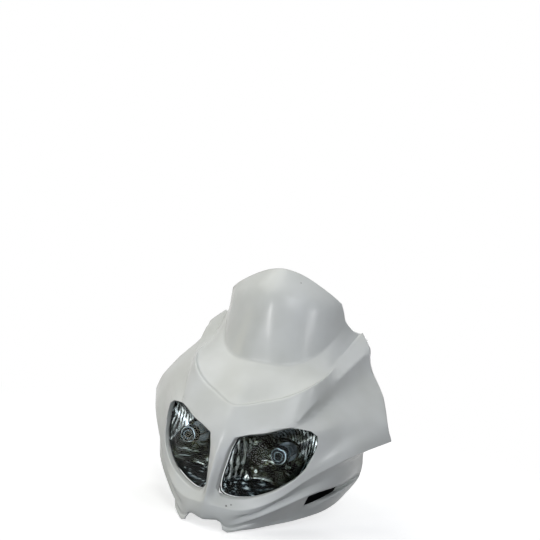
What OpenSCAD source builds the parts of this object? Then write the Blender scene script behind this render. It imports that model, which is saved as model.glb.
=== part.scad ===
// Twin lamp headlight cowl for a motorbike, with its two lamp units.
// Millimetres, +Z up, the cowl faces -Y and X = 0 is the plane of symmetry.
// The origin is midway between the two ear holes, on their common axis.
// The moulded shell is lofted from named character lines. Each line is a list of points
// on the right hand side, from the centreline out to the free rear edge.

/* [Shell] */
// Width over the two wing corners
cowl_width = 430; // [380:5:480]
// Height from the prong tips to the top of the screen
cowl_height = 386; // [350:2:420]
// Depth from the chin to the wing tips, ears left out
cowl_depth = 270; // [240:2:300]
// Wall of the moulding
wall = 2.6; // [2:0.1:3.5]
// How far the lamp aperture lips turn in
lip_depth = 11; // [8:0.5:16]
// How much smaller the turned in lip is than the aperture
lip_draft = 1.6; // [0.5:0.1:3]

/* [Ears] */
// Distance of the flat ear plates from the symmetry plane, outer face
ear_x = 140; // [136:1:144]
// Hole in the ear for the rubber grommet
ear_hole_d = 10; // [9:0.5:12]
// How far the ear hole lies behind the datum of the character lines
ear_hole_y = 159; // [155:1:161]
// Height of the ear hole above the datum of the character lines
ear_hole_z = 79; // [74:1:84]
// Bore of the steel sleeve that takes the bolt
sleeve_bore = 6.4; // [5.2:0.1:6.6]
// Outside of the steel sleeve
sleeve_d = 8; // [7.6:0.1:8.6]
// Flanges of the grommet, either side of the ear
grommet_d = 14.5; // [14:0.5:18]
// Thickness of each grommet flange
grommet_t = 1.8; // [1.4:0.1:2.4]

/* [Lamps] */
// Thickness of the lens
lens_t = 2.4; // [2:0.1:3]
// Thickness of the bonding bead between lip and lens
seal_t = 1.5; // [1:0.1:2.5]
// Bottom of the reflector bowl, on the Y scale of the character lines
bowl_y = -4; // [-10:1:4]
// Wall of the reflector
bowl_wall = 1.6; // [1.2:0.1:2]
// Wall of the black lamp housing
tub_wall = 2; // [1.6:0.1:2.6]
// Distance of the bulb axis from the symmetry plane
bulb_x = 74; // [70:1:78]
// Height of the bulb axis, on the Z scale of the character lines
bulb_z = -56; // [-60:1:-52]
// Glass envelope of the bulb
bulb_d = 15; // [13:0.5:17]
// Metal collar of the bulb
collar_d = 40; // [36:1:42]

/* [Hidden] */
$fn = 48;
kx = cowl_width / 430;
ky = cowl_depth / 270;
kz = cowl_height / 386;

// Character lines. Stations: centreline, bar side, prong, lamp middle, groove start,
// lamp outer side, side panel, free rear edge.
// Top edge of the screen.
l_top = [[0, 55, 224], [13, 57, 223], [27, 61, 220], [41, 65, 215],
    [56, 69, 208], [71, 74, 200], [86, 81, 191], [98, 90, 182]];
// Upper part of the screen.
l_scr1 = [[0, 24, 181], [15, 26, 181], [30, 30, 180], [45, 37, 179],
    [60, 46, 177], [75, 59, 175], [90, 77, 172], [102, 98, 170]];
// Fullest part of the screen.
l_scr2 = [[0, 15, 132], [16, 16, 132], [32, 20, 133], [48, 28, 135],
    [64, 40, 138], [79, 55, 142], [93, 78, 149], [105, 105, 157]];
// Crease where the screen stands on the hood.
l_base = [[0, 9, 68], [16, 9, 68], [32, 11, 69], [48, 17, 72],
    [64, 28, 79], [80, 47, 92], [95, 77, 117], [108, 113, 151]];
// Dished hood below the screen.
l_hood = [[0, -28, 44], [18, -25, 44], [36, -19, 46], [54, -10, 51],
    [72, 2, 59], [90, 24, 73], [104, 72, 102], [117, 131, 141]];
// Inner edge of the raised ridge band, from the V point to the wing tip.
l_band = [[0, -71, 7], [20, -62, 11], [38, -52, 18], [58, -42, 25],
    [80, -30, 37], [102, -8, 55], [115, 66, 89], [129, 149, 141]];
// Outer edge of the ridge band, over the groove.
l_edge = [[0, -82, -8], [20, -78, -9], [36, -72, -7], [56, -64, -4],
    [88, -50, -3], [106, -17, 25], [129, 50, 71], [151, 132, 116]];
// Foot of the groove under the ridge band.
l_groove = [[0, -88, -18], [19, -85, -19], [34, -79, -17], [55, -71, -14],
    [91, -51, -8], [103, -17, 6], [129, 47, 47], [154, 130, 95]];
// Upper edge of the lamp aperture, then the bulge of the side panel.
l_ap_top = [[0, -94, -30], [19, -93, -34], [34, -87, -28], [54, -76, -23],
    [88, -53, -10], [120, -27, -12], [153, 38, 14], [187, 112, 45]];
l_ap_1 = [[0, -101, -47], [14, -98, -50], [33, -91, -46], [54, -81, -44],
    [91, -58, -38], [124, -28, -32], [160, 33, 2], [198, 97, 22]];
l_ap_2 = [[0, -109, -70], [11, -101, -72], [32, -94, -70], [54, -85, -68],
    [92, -64, -61], [120, -36, -52], [162, 24, -16], [205, 87, 5]];
l_ap_3 = [[0, -115, -92], [8.5, -105, -94], [31, -95, -94], [53, -87, -93],
    [90, -66, -84], [114, -45, -70], [164, 15, -31], [210, 87, -9]];
// Lower edge of the lamp aperture.
l_ap_low = [[0, -119, -115], [8.5, -107, -116], [26, -98, -120], [53, -84, -116],
    [85, -69, -100], [105, -54, -83], [164, 11, -41], [214, 90, -18]];
// Overhanging lower edge of the side panel, fading out under the lamp.
l_panel = [[0, -121, -128], [17, -115, -128], [32, -107, -131], [56, -93, -129],
    [90, -69, -111], [120, -42, -82], [168, 14, -46], [215, 91, -22]];
// Bottom of the channel under the side panel.
l_chan = [[0, -121, -137], [18, -116, -137], [33, -108, -138], [55, -93, -136],
    [86, -66, -118], [112, -40, -96], [160, 20, -60], [172, 102, -50]];
// Lower ridge, from the prong back over the pod.
l_ridge = [[0, -120, -144], [20, -115, -144], [32, -109, -147], [54, -88, -138],
    [88, -58, -117], [125, -24, -95], [163, 32, -76], [174, 102, -68]];
// Upper edge of the side vent.
l_vent = [[0, -119.5, -147], [22, -113, -147], [31, -109, -153], [57, -90, -146],
    [90, -63, -128], [126, -27, -106], [160, 40, -93], [174, 101, -80]];
// The same edge turned in.
l_vent_in = [[0, -119, -148], [23, -112, -148], [31.5, -108, -155], [57, -86, -148],
    [86, -57, -130], [115, -20, -108], [150, 46, -97], [173, 100, -84]];
// Inner edge of the vent floor.
l_floor = [[0, -118.5, -149], [24, -111, -149], [31.5, -108, -156.5], [56, -85, -152],
    [82, -54, -142], [104, -10, -136], [143, 50, -112], [173, 99, -88]];
// Rolled lower lip of the vent.
l_lip = [[0, -118, -150], [25, -110.5, -150], [30.5, -110, -158], [54, -90, -156],
    [79, -47, -153], [110, 4, -146], [157, 50, -106], [172, 98, -92]];
// Free lower edge, with the chin stepped up between the two prongs.
l_low = [[0, -117, -151], [26, -110, -151], [30, -111, -160], [53, -90, -160],
    [80, -45, -158], [107, 0, -154], [146, 62, -136], [168, 94, -102]];
// Foot of the small step inside the ridge band.
l_step = [for (k = [0 : 7]) l_band[k]
    + (l_hood[k] - l_band[k]) / norm(l_hood[k] - l_band[k]) * 6 + [0, 1.5, -2.5]];
// Outline of the ear, from the wing tip round to its lower end.
l_ear = [[ear_x, 150, 130], [ear_x, 160, 113], [ear_x, 169, 96], [ear_x, 173, 84],
    [ear_x, 169, 71], [ear_x, 160, 60], [ear_x, 147, 54], [ear_x, 133, 50]];

// The lines from top to bottom, how many rows lead to the next one and whether the
// surface creases on the line.
LINES = [l_top, l_scr1, l_scr2, l_base, l_hood, l_step, l_band, l_edge, l_groove, l_ap_top,
    l_ap_1, l_ap_2, l_ap_3, l_ap_low, l_panel, l_chan, l_ridge, l_vent, l_vent_in,
    l_floor, l_lip, l_low];
ROWS = [3, 3, 3, 2, 3, 1, 2, 2, 4, 3, 3, 3, 2, 2, 2, 2, 1, 1, 1, 2, 1];
CREASE = [0, 0, 0, 1, 0, 1, 1, 1, 0, 0, 0, 0, 0, 0, 1, 0, 0, 1, 1, 1, 1, 1];
COLS = [3, 2, 3, 4, 4, 5, 5];

// Scale a point to the chosen overall size and place it from the ear hole axis.
datum = [0, ear_hole_y * ky, ear_hole_z * kz];
function fit(p) = [p.x * kx, p.y * ky, p.z * kz] - datum;
// Length of a chord, never nought.
function chord(a, b) = max(norm(b - a), 0.001);
// Direction of the curve at b, weighted by the chords beside it.
function lean(a, b, c) = let (d = chord(a, b), e = chord(b, c))
    ((b - a) * e / d + (c - b) * d / e) / (d + e);
// Cubic between b and c with neighbours a and d. A crease starts or ends it straight.
function curve(a, b, c, d, t, s0, s1) = let (
        h = chord(b, c),
        m0 = s0 ? (c - b) / h : lean(a, b, c),
        m1 = s1 ? (c - b) / h : lean(b, c, d))
    (2 * t * t * t - 3 * t * t + 1) * b + (t * t * t - 2 * t * t + t) * h * m0
    + (3 * t * t - 2 * t * t * t) * c + (t * t * t - t * t) * h * m1;
// Point of a character line between stations k and k + 1.
function along(l, k, t) = let (
        a = k == 0 ? [-l[1].x, l[1].y, l[1].z] : l[k - 1],
        d = k + 2 < len(l) ? l[k + 2] : l[k + 1] * 2 - l[k])
    curve(a, l[k], l[k + 1], d, t, false, false);
// Every step between keys as [key, fraction], the last key included.
function steps(n) = concat(
    [for (k = [0 : len(n) - 1]) for (s = [0 : n[k] - 1]) [k, s / n[k]]],
    [[len(n) - 1, 1]]);
// Sum of the first k entries.
function upto(n, k) = k <= 0 ? 0 : n[k - 1] + upto(n, k - 1);

row_steps = steps(ROWS);
col_steps = steps(COLS);
NR = len(row_steps) - 1;
NC = len(col_steps) - 1;
// Row and column numbers of the lamp aperture, the vent and the ear.
r_ap0 = upto(ROWS, 9);
r_ap1 = upto(ROWS, 13);
c_ap0 = upto(COLS, 1);
c_ap1 = upto(COLS, 5);
r_slot = upto(ROWS, 18);
c_slot0 = upto(COLS, 5) + 1;
c_slot1 = upto(COLS, 6);
r_ear0 = upto(ROWS, 6) + 1;
r_ear1 = upto(ROWS, 9);

// Every character line at every column.
key = [for (l = LINES) [for (c = col_steps) fit(along(l, c[0], c[1]))]];
// The smooth outer surface before the lips are turned in.
base = [for (r = row_steps) let (k = r[0], t = r[1]) [for (j = [0 : NC])
    curve(key[max(k - 1, 0)][j], key[k][j], key[k + 1][j],
        key[min(k + 2, len(key) - 1)][j], t,
        k == 0 || CREASE[k] == 1, k + 2 >= len(key) || CREASE[k + 1] == 1)]];

// Middle of the lamp aperture.
ap_mid = fit([66, -66, -58]);
// A point of the aperture edge moved back along the lip and drawn in a little.
function turned(p, d) = let (v = [ap_mid.x - p.x, 0, ap_mid.z - p.z])
    p + [0, d, 0] + v / norm(v) * lip_draft * d / lip_depth;
function in_ap(i, j) = i > r_ap0 && i < r_ap1 && j > c_ap0 && j < c_ap1;
// Node of the turned in lip, taken from the aperture edge beside it.
function lip_node(i, j) = let (
        top = i == r_ap0 + 1, low = i == r_ap1 - 1,
        inn = j == c_ap0 + 1, out = j == c_ap1 - 1,
        a = (top || low) ? [top ? r_ap0 : r_ap1, j] : undef,
        b = (inn || out) ? [i, inn ? c_ap0 : c_ap1] : undef)
    (a != undef && b != undef)
        ? turned(base[top ? r_ap0 : r_ap1][inn ? c_ap0 : c_ap1], lip_depth)
        : a != undef ? turned(base[a[0]][a[1]], lip_depth)
        : b != undef ? turned(base[b[0]][b[1]], lip_depth) : base[i][j];

// The ear behind the wing edge: a step wall inwards, then a flat plate.
function ear_node(i, c) = let (
        p = base[i][NC],
        s = (i - r_ear0) / (r_ear1 - r_ear0) * 6.999,
        e = fit(along(l_ear, floor(s), s - floor(s))),
        q = [ear_x, p.y + 7, p.z])
    c == 1 ? [p.x + (ear_x - p.x) * 0.55, p.y + 3, p.z]
    : [ear_x, q.y + (e.y - q.y) * (c - 2) / 3, q.z + (e.z - q.z) * (c - 2) / 3];
function ear_row(i) = i >= r_ear0 && i <= r_ear1;

NCE = NC + 5;
outer = [for (i = [0 : NR]) [for (j = [0 : NCE])
    j > NC ? (ear_row(i) ? ear_node(i, j - NC) : base[i][NC])
    : in_ap(i, j) ? lip_node(i, j) : base[i][j]]];

// True for the nodes at the inner end of the lip.
function on_lip(i, j) = in_ap(i, j)
    && (i == r_ap0 + 1 || i == r_ap1 - 1 || j == c_ap0 + 1 || j == c_ap1 - 1);
// True where the moulding has material between rows i, i + 1 and columns j, j + 1.
function solid(i, j) = i >= 0 && i < NR && j < NCE
    && (j < NC || (i >= r_ear0 && i < r_ear1))
    && !(i > r_ap0 && i < r_ap1 - 1 && j > c_ap0 && j < c_ap1 - 1)
    && !(i == r_slot && j >= c_slot0 && j < c_slot1);
// Unit vector, or nought for a nought vector.
function unit(v) = norm(v) < 0.0001 ? [0, 0, 0] : v / norm(v);
// Outward normal of a cell.
function cell_n(g, i, j) = unit(cross(g[i + 1][j + 1] - g[i][j], g[i][j + 1] - g[i + 1][j]));
// Outward normal of a node from the solid cells beside it.
function node_n(i, j) = let (s =
        (solid(i - 1, j - 1) && j > 0 ? cell_n(outer, i - 1, j - 1) : [0, 0, 0])
        + (solid(i - 1, j) ? cell_n(outer, i - 1, j) : [0, 0, 0])
        + (j > 0 && solid(i, j - 1) ? cell_n(outer, i, j - 1) : [0, 0, 0])
        + (solid(i, j) ? cell_n(outer, i, j) : [0, 0, 0]))
    unit(on_lip(i, j) ? [ap_mid.x - outer[i][j].x, 0, ap_mid.z - outer[i][j].z]
        : j == 0 ? [0, s.y, s.z] : s);
inner = [for (i = [0 : NR]) [for (j = [0 : NCE]) outer[i][j] - node_n(i, j) * wall]];

// Flat list of the points: right outer, right inner, then the same two mirrored.
W = NCE + 1;
H = NR + 1;
flat_out = [for (r = outer) for (p = r) p];
flat_in = [for (r = inner) for (p = r) p];
shell_points = concat(flat_out, flat_in,
    [for (p = flat_out) [-p.x, p.y, p.z]], [for (p = flat_in) [-p.x, p.y, p.z]]);
// Number of a point: side 0 right or 1 left, skin 0 outer or 1 inner.
function num(i, j, side, skin) = i * W + j + skin * W * H + (j == 0 ? 0 : side * 2 * W * H);
// Two triangles of a quad, turned round on the left side.
function quad(a, b, c, d, side) = side == 0 ? [[a, b, c], [a, c, d]] : [[c, b, a], [d, c, a]];
// Wall between the skins along one edge of a cell.
function strip(i0, j0, i1, j1, s) =
    quad(num(i0, j0, s, 0), num(i1, j1, s, 0), num(i1, j1, s, 1), num(i0, j0, s, 1), s);
function cell_faces(i, j, s) = concat(
    quad(num(i, j, s, 0), num(i, j + 1, s, 0), num(i + 1, j + 1, s, 0), num(i + 1, j, s, 0), s),
    quad(num(i + 1, j, s, 1), num(i + 1, j + 1, s, 1), num(i, j + 1, s, 1), num(i, j, s, 1), s),
    solid(i - 1, j) ? [] : strip(i, j + 1, i, j, s),
    solid(i + 1, j) ? [] : strip(i + 1, j, i + 1, j + 1, s),
    solid(i, j + 1) ? [] : strip(i + 1, j + 1, i, j + 1, s),
    (j == 0 || solid(i, j - 1)) ? [] : strip(i, j, i + 1, j, s));
shell_faces = [for (s = [0, 1]) for (i = [0 : NR - 1]) for (j = [0 : NCE - 1])
    if (solid(i, j)) for (f = cell_faces(i, j, s)) f];

module cowl() {
    color("whitesmoke")
    difference() {
        polyhedron(points = shell_points, faces = shell_faces, convexity = 12);
        for (s = [-1, 1])
            translate([s * (ear_x - wall / 2), 0, 0])
                rotate([0, 90, 0])
                    cylinder(d = ear_hole_d, h = wall * 6, center = true);
    }
}

// Row and column numbers of the inner end of the lip, in order round it.
i0 = r_ap0 + 1;
i1 = r_ap1 - 1;
j0 = c_ap0 + 1;
j1 = c_ap1 - 1;
lip_ids = concat(
    [for (j = [j0 : j1 - 1]) [i0, j]],
    [for (i = [i0 : i1 - 1]) [i, j1]],
    [for (j = [j1 : -1 : j0 + 1]) [i1, j]],
    [for (i = [i1 : -1 : i0 + 1]) [i, j0]]);
// The bulb axis in the scaled cowl.
bulb_seat = fit([bulb_x, bowl_y, bulb_z]);
ax = bulb_seat.x;
by = bulb_seat.y;
az = bulb_seat.z;
// Back face of the lens, behind the end of the lip.
lens_back_y = seal_t + lens_t;
// Lip end points moved out from the bulb axis, seen from the front, and back.
function grown(ids, grow, back) = [for (d = ids) let (
        p = outer[d[0]][d[1]], v = [p.x - ax, 0, p.z - az])
    p + v / norm(v) * grow + [0, back, 0]];
// A loop of a bowl: s is 1 at the lens and falls towards the bulb. The rim lies edge mm
// outside the end of the lip and the bowl is grow mm larger round the bulb.
s_min = 0.25;
bowl_r = 60 * kz;
function bowl(ids, s, edge, grow, dy) = [for (d = ids) let (
        p = outer[d[0]][d[1]],
        v = [p.x - ax, 0, p.z - az],
        r = (norm(v) + edge) * s * s + bowl_r * s * (1 - s) + grow * (1 - s * s),
        y0 = p.y + lens_back_y)
    [ax + v.x / norm(v) * r,
     by - (by - y0) * (s * s - s_min * s_min) / (1 - s_min * s_min) + dy,
     az + v.z / norm(v) * r]];
// A round loop on the bulb axis.
function neck(ids, r, y) = [for (d = ids) let (
        p = outer[d[0]][d[1]], v = [p.x - ax, 0, p.z - az])
    [ax + v.x / norm(v) * r, y, az + v.z / norm(v) * r]];
// Closed skin through a list of loops, the last joined to the first.
module ring_skin(loops) {
    n = len(loops[0]);
    m = len(loops);
    polyhedron(points = [for (l = loops) for (p = l) p],
        faces = [for (k = [0 : m - 1]) for (i = [0 : n - 1])
            let (a = k * n + i, b = k * n + (i + 1) % n,
                c = (k + 1) % m * n + (i + 1) % n, d = (k + 1) % m * n + i)
            for (f = [[a, b, c], [a, c, d]]) f],
        convexity = 8);
}
// Grid skin with a front and a back, and a flat margin out to a pair of edge loops.
module plate_skin(front, back, edge_front, edge_back) {
    h = len(front);
    w = len(front[0]);
    n = h * w;
    m = len(edge_front);
    rim = concat([for (j = [0 : w - 2]) j], [for (i = [0 : h - 2]) i * w + w - 1],
        [for (j = [w - 1 : -1 : 1]) (h - 1) * w + j], [for (i = [h - 1 : -1 : 1]) i * w]);
    polyhedron(
        points = concat([for (r = front) for (p = r) p], [for (r = back) for (p = r) p],
            edge_front, edge_back),
        faces = concat(
            [for (i = [0 : h - 2]) for (j = [0 : w - 2]) let (a = i * w + j)
                for (f = [[a, a + 1, a + w + 1], [a, a + w + 1, a + w]]) f],
            [for (i = [0 : h - 2]) for (j = [0 : w - 2]) let (a = n + i * w + j)
                for (f = [[a + w + 1, a + 1, a], [a + w, a + w + 1, a]]) f],
            [for (k = [0 : m - 1])
                let (k1 = (k + 1) % m, a = rim[k], b = rim[k1], e = 2 * n + k, f = 2 * n + k1)
                for (t = [[b, a, e], [b, e, f], [f, e, e + m], [f, e + m, f + m],
                        [f + m, e + m, a + n], [f + m, a + n, b + n]]) t]),
        convexity = 4);
}
// Stand a part turned about Z on the bulb axis, its top towards the front.
module on_axis(y) {
    translate([ax, y, az]) rotate([90, 0, 0]) children();
}
// The right part, or its mirror image.
module side(s) {
    if (s > 0) children();
    else mirror([1, 0, 0]) children();
}

// Bead of adhesive on the end of the lip, clear of the curved faces by fit_gap.
bead_in = 0.2;
bead_out = 2.5;
fit_gap = 0.3;
module seal(s) {
    color("black") side(s) ring_skin([
        grown(lip_ids, bead_in, seal_t - fit_gap), grown(lip_ids, bead_out, seal_t - fit_gap),
        grown(lip_ids, bead_out, fit_gap), grown(lip_ids, bead_in, fit_gap)]);
}

// The lens follows the cowl behind the aperture and has a flat margin on the bead.
function lens_grid(back) = [for (i = [i0 : i1]) [for (j = [j0 : j1])
    on_lip(i, j) ? outer[i][j] + [0, back, 0] : base[i][j] + [0, lip_depth + back, 0]]];
module lens(s) {
    color("lightcyan", 0.5) side(s) plate_skin(
        lens_grid(seal_t), lens_grid(lens_back_y),
        grown(lip_ids, bead_out + 0.1, seal_t), grown(lip_ids, bead_out + 0.1, lens_back_y));
}

// Space between the reflector and what lies in front of it and round it.
play = 1.5;
refl_edge = -1.9;
refl_loops = [1, 0.82, 0.54, s_min];
// Straight lower edge of the reflector, below which the black housing shows.
refl_low = fit([0, 0, -99]).z;
module reflector(s) {
    n = len(refl_loops) - 1;
    color("silver") side(s) difference() {
        ring_skin(concat(
            [for (q = refl_loops) bowl(lip_ids, q, refl_edge, 0, play)],
            [for (k = [n : -1 : 0])
                bowl(lip_ids, refl_loops[k], refl_edge + bowl_wall, bowl_wall,
                    k == 0 ? play : play + bowl_wall)]));
        translate([0, by - cowl_depth, refl_low - cowl_height])
            cube([cowl_width, cowl_depth * 2, cowl_height]);
    }
}

// Round neck at the back of the housing, which the rubber boot grips.
neck_r = 29;
neck_y = by + 7;
neck_h = 6;
neck_lap = 1;
tub_in = 0.6;
// The fullest loop of the housing: its place on the bowl, its growth and its set back.
tub_s = 0.72;
tub_grow = 20;
tub_back = 9;
module housing(s) {
    color("dimgray") side(s) ring_skin([
        bowl(lip_ids, 1, tub_in + tub_wall, 0, fit_gap),
        bowl(lip_ids, 1, tub_in, 0, fit_gap),
        bowl(lip_ids, tub_s, tub_in, tub_grow, tub_back),
        neck(lip_ids, neck_r - tub_wall, neck_y),
        neck(lip_ids, neck_r - tub_wall, neck_y + neck_h),
        neck(lip_ids, neck_r, neck_y + neck_h),
        neck(lip_ids, neck_r, neck_y - neck_lap),
        bowl(lip_ids, tub_s, tub_in + tub_wall, tub_grow + tub_wall, tub_back + tub_wall)]);
}

// The bulb collar sits on the back of the reflector. Heights are from there forwards.
seat_y = by + play + bowl_wall;
collar_t = 3;
base_d = 22;
base_h = 18;
tab_w = 6;
tab_t = 0.8;
tab_h = 10;
// Cap in front of the bulb: widths at its foot and roof, height and sheet.
cap_d0 = 28;
cap_d1 = 24;
cap_h = 14;
cap_wall = 1;
cap_roof = 1.5;
// Rearmost part of the lens within cap_reach of the axis, and the space kept behind it.
cap_reach = 18;
lens_near = max([for (i = [i0 : i1]) for (j = [j0 : j1])
    let (p = base[i][j]) norm([p.x - ax, p.z - az]) < cap_reach ? p.y : -cowl_depth * 2])
    + lip_depth + lens_back_y;
cap_gap = 4;
cap_top = seat_y - lens_near - cap_gap;
// Space between the glass and the roof of the cap.
glass_gap = 3;
glass_h = cap_top - cap_roof - glass_gap - bulb_d / 2;
leg_d = 1.8;
module bulb(s) {
    color("gainsboro") side(s) on_axis(seat_y) union() {
        translate([0, 0, glass_h]) sphere(d = bulb_d);
        translate([0, 0, -collar_t / 2]) cylinder(d = bulb_d, h = glass_h + collar_t / 2);
        translate([0, 0, -collar_t]) cylinder(d = collar_d, h = collar_t);
        translate([0, 0, -base_h]) cylinder(d = base_d, h = base_h - collar_t / 2);
        for (a = [0, 90, 180]) rotate([0, 0, a])
            translate([-tab_w / 2, tab_w, 1 - base_h - tab_h]) cube([tab_w, tab_t, tab_h]);
    }
}

// Cap that hides the bulb from the front, on two legs that stand on the bulb collar.
module bulb_shield(s) {
    color("silver") side(s) on_axis(seat_y) union() {
        difference() {
            translate([0, 0, cap_top - cap_h]) cylinder(d1 = cap_d0, d2 = cap_d1, h = cap_h);
            translate([0, 0, cap_top - cap_h - cap_wall])
                cylinder(d1 = cap_d0 - cap_wall * 2, d2 = cap_d1 - cap_wall * 2,
                    h = cap_h + cap_wall - cap_roof);
        }
        for (a = [-1, 1]) translate([a * (cap_d1 / 2 + 0.2), 0, 0])
            cylinder(d = leg_d, h = cap_top - cap_h + 4);
    }
}

// Rubber boot that closes the back of the housing round the bulb.
boot_fit = 0.1;
boot_wall = 2.4;
boot_lap = 2;
boot_mid = 24;
boot_drop = 11;
module boot(s) {
    c = neck_r + boot_fit;
    b = neck_y - by + neck_h;
    e = base_d / 2 + 0.4;
    color("black") side(s) on_axis(by) rotate_extrude() polygon([
        [c, boot_lap - b], [c + boot_wall, boot_lap - b], [c + boot_wall, -b - boot_lap],
        [boot_mid, -b - boot_drop + 3], [e + 2.6, -b - boot_drop], [e, -b - boot_drop],
        [e, -b - boot_drop + 2.2], [e + 2, -b - boot_drop + 2.2],
        [boot_mid - 1, -b - boot_drop + 5], [c - 1, -b - boot_fit * 2], [c, -b - boot_fit * 2]]);
}

module ear_grommet(s) {
    color("black") side(s) translate([ear_x - wall / 2, 0, 0])
        rotate([0, 90, 0]) difference() {
            union() {
                cylinder(d = ear_hole_d, h = wall + grommet_t * 2, center = true);
                for (z = [-1, 1]) translate([0, 0, z * (wall + grommet_t) / 2])
                    cylinder(d = grommet_d, h = grommet_t, center = true);
            }
            cylinder(d = sleeve_d, h = wall * 8, center = true);
        }
}

module ear_sleeve(s) {
    color("silver") side(s) translate([ear_x - wall / 2, 0, 0])
        rotate([0, 90, 0]) difference() {
            cylinder(d = sleeve_d, h = wall + grommet_t * 2 + 1, center = true);
            cylinder(d = sleeve_bore, h = wall * 8, center = true);
        }
}

cowl();
seal(1);  // seal_right
seal(-1);  // seal_left
lens(1);  // lens_right
lens(-1);  // lens_left
reflector(1);  // reflector_right
reflector(-1);  // reflector_left
housing(1);  // housing_right
housing(-1);  // housing_left
bulb(1);  // bulb_right
bulb(-1);  // bulb_left
bulb_shield(1);  // bulb_shield_right
bulb_shield(-1);  // bulb_shield_left
boot(1);  // boot_right
boot(-1);  // boot_left
ear_grommet(1);  // ear_grommet_right
ear_grommet(-1);  // ear_grommet_left
ear_sleeve(1);  // ear_sleeve_right
ear_sleeve(-1);  // ear_sleeve_left
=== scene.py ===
"""Twin lamp headlight cowl for a motorbike, dressed for rendering.

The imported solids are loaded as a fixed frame. The moulded shell, the lamp parts and the
mounting hardware are refined from them, each finish is a procedural material, and the
cowl stands on a pale floor in soft studio light.
"""

import logging
import math
from dataclasses import dataclass, field
from enum import Enum

import bmesh
import bpy
from mathutils import Euler, Matrix, Vector
from mathutils.bvhtree import BVHTree


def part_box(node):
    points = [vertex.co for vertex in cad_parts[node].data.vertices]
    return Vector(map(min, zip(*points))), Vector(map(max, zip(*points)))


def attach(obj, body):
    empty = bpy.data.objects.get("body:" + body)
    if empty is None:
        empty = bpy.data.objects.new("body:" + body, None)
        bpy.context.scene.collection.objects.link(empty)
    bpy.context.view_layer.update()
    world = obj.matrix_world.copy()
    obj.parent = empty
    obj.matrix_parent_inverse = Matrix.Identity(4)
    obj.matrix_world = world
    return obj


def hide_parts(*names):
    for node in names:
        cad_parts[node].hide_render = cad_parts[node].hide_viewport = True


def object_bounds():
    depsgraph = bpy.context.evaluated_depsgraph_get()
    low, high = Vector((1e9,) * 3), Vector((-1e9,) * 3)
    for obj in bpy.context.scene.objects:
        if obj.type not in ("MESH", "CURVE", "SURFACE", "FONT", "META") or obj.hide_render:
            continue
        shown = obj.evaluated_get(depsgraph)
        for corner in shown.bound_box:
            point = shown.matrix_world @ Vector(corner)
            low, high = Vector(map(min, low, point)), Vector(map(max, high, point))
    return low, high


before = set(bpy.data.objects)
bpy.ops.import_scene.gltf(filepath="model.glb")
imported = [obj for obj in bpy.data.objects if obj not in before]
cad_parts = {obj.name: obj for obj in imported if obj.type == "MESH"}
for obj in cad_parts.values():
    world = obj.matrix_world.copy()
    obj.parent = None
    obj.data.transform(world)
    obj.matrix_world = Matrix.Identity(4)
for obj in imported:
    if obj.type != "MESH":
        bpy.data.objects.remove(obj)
CAD_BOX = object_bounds()

log = logging.getLogger("cowl")
MM = 0.001
# Points that lie closer together than this, in metres, are made one.
SAME_POINT = 0.00001
# Largest angles in degrees at which two triangles are paired: between them, and in shape.
PAIR_FACES = 50
PAIR_CORNERS = 150
# Angle in degrees from which an edge of a small moulded or turned part counts as sharp.
HARD_EDGE = 35.0
# Length in metres of one stripe of a wave texture at scale 1.
WAVE_LENGTH = 0.314
# Radius and height in millimetres of each point of a turned shape, in order round.
Outline = tuple[tuple[float, float], ...]
# Places from 0 to 1, each with its hex colour.
Tones = tuple[tuple[float, str], ...]


class Side(Enum):
    """The two halves of the cowl, as the sign of X."""

    RIGHT = 1
    LEFT = -1

    @property
    def word(self) -> str:
        """Return the word used in node names."""
        return self.name.lower()


def linear(hex_colour: str) -> tuple[float, float, float, float]:
    """Turn an sRGB hex colour into a linear colour with full alpha.

    Args:
        hex_colour: colour such as "#c8ccc8".

    Returns:
        Linear red, green, blue and alpha.
    """
    parts = [int(hex_colour[i:i + 2], 16) / 255 for i in (1, 3, 5)]
    lin = [c / 12.92 if c <= 0.04045 else ((c + 0.055) / 1.055) ** 2.4 for c in parts]
    return (*lin, 1.0)


def mm_point(x: float, y: float, z: float) -> Vector:
    """Return a point given in millimetres as a vector in metres."""
    return Vector((x, y, z)) * MM


def add_node(tree: bpy.types.NodeTree, kind: str, settings: dict | None = None,
             links: dict | None = None) -> bpy.types.Node:
    """Add a node, set its properties and sockets and link its inputs.

    Args:
        tree: node tree to add to.
        kind: bl_idname of the node.
        settings: property names, or input socket names or numbers, with their values.
        links: input socket names or numbers with the output sockets that feed them.

    Returns:
        The new node.
    """
    node = tree.nodes.new(kind)
    for key, value in (settings or {}).items():
        if isinstance(key, str) and hasattr(node, key):
            setattr(node, key, value)
        else:
            node.inputs[key].default_value = value
    for key, output in (links or {}).items():
        tree.links.new(output, node.inputs[key])
    return node


@dataclass(frozen=True)
class Finish:
    """Values that every surface finish has.

    Attributes:
        name: name of the real material.
        colour: sRGB hex colour.
        roughness: roughness of the shader.
        metallic: metallic of the shader.
        ior: index of refraction.
    """

    name: str
    colour: str
    roughness: float
    metallic: float = 0.0
    ior: float = 1.5

    def begin(self) -> tuple[bpy.types.Material, bpy.types.NodeTree, bpy.types.Node]:
        """Make the material with its shader and uniform values.

        Returns:
            The material, its node tree and its Principled shader.
        """
        material = bpy.data.materials.new(self.name)
        material.use_nodes = True
        tree = material.node_tree
        shader = tree.nodes["Principled BSDF"]
        shader.inputs["Base Color"].default_value = linear(self.colour)
        shader.inputs["Roughness"].default_value = self.roughness
        shader.inputs["Metallic"].default_value = self.metallic
        if not self.metallic:
            shader.inputs["IOR"].default_value = self.ior
        return material, tree, shader

    def build(self) -> bpy.types.Material:
        """Return the finished material."""
        return self.begin()[0]


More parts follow.
